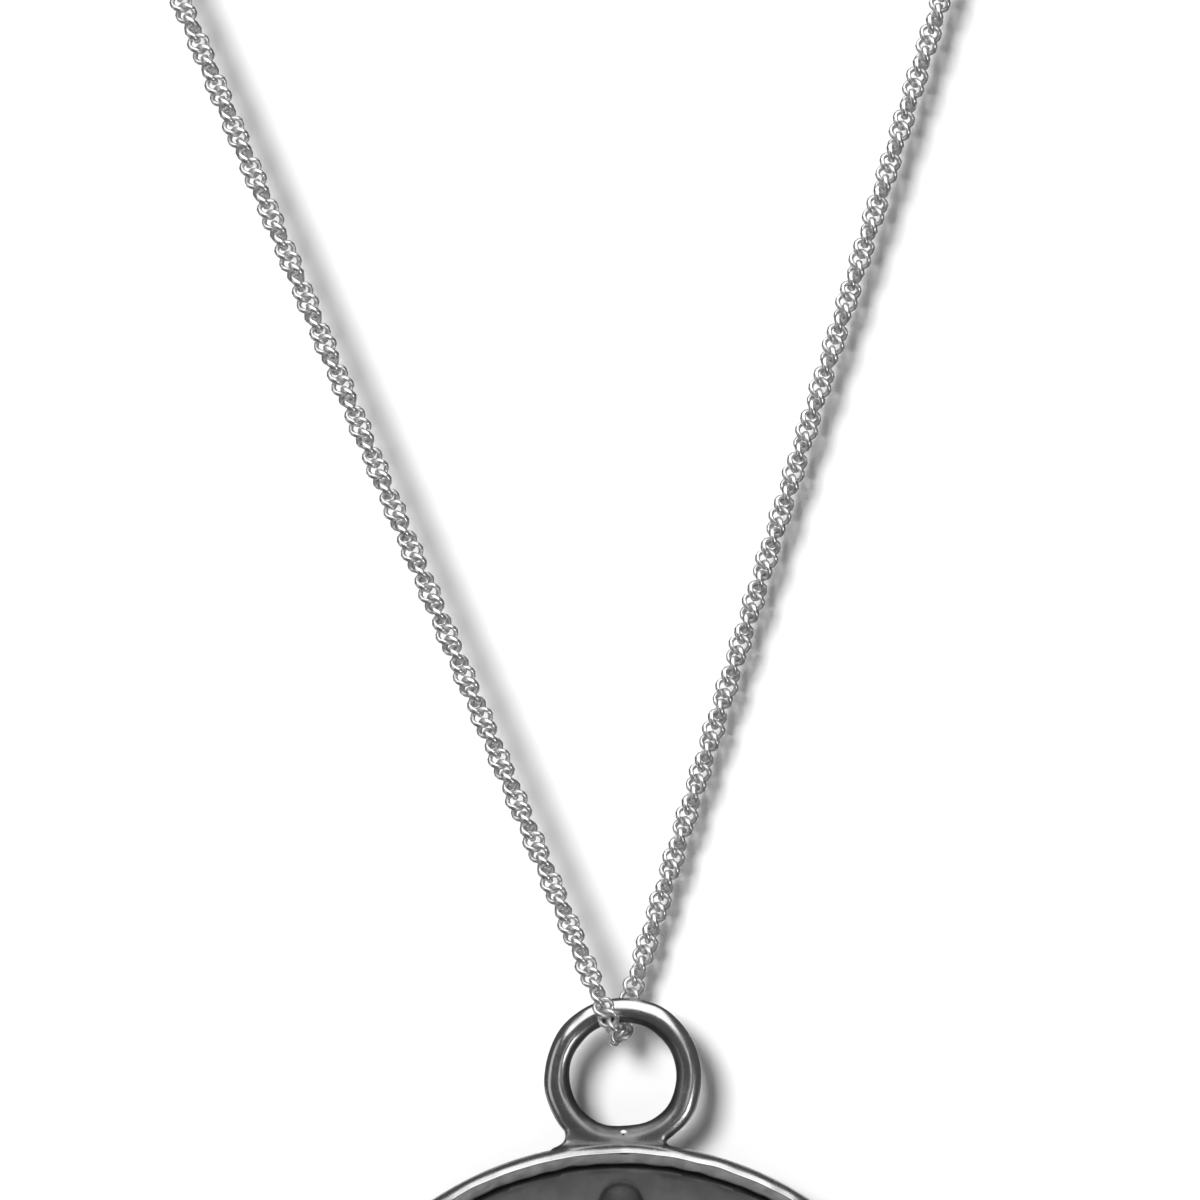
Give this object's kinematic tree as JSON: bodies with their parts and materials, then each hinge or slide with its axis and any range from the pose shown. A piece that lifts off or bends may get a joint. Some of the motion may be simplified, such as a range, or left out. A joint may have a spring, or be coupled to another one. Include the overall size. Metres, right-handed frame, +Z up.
{
  "type": "sugar skull pendant",
  "caption": "Round silver pendant, a raised sugar skull on a darkened medallion in a bezel, its soldered ring threaded on a fine rope chain with a plain clasp.",
  "frame": {"origin": "top of the chain's loop, at its clasp, where the necklace hangs on the nape", "axes": "+Z up, +X to the right as seen from the front, +Y to the back; the pendant's face looks along -Y"},
  "size_m": [0.0989, 0.0059, 0.2247],
  "materials": {
    "setting": "hand-polished silver with dark patina in the corners",
    "skull_medallion": "blackened silver, its raised parts rubbed brighter",
    "rope_chain": "bright polished silver",
    "clasp": "bright polished silver"
  },
  "bodies": {
    "necklace": {"rope_chain": "rope_chain", "clasp": "clasp"},
    "pendant": {"setting": "setting", "skull_medallion": "skull_medallion"}
  },
  "joints": [
    {"name": "pendant_swing", "type": "hinge", "parent": "necklace", "child": "pendant", "pos_m": [0.00694, 0, -0.19174], "axis": [0, 1, 0], "range_deg": [-60, 60]}
  ]
}
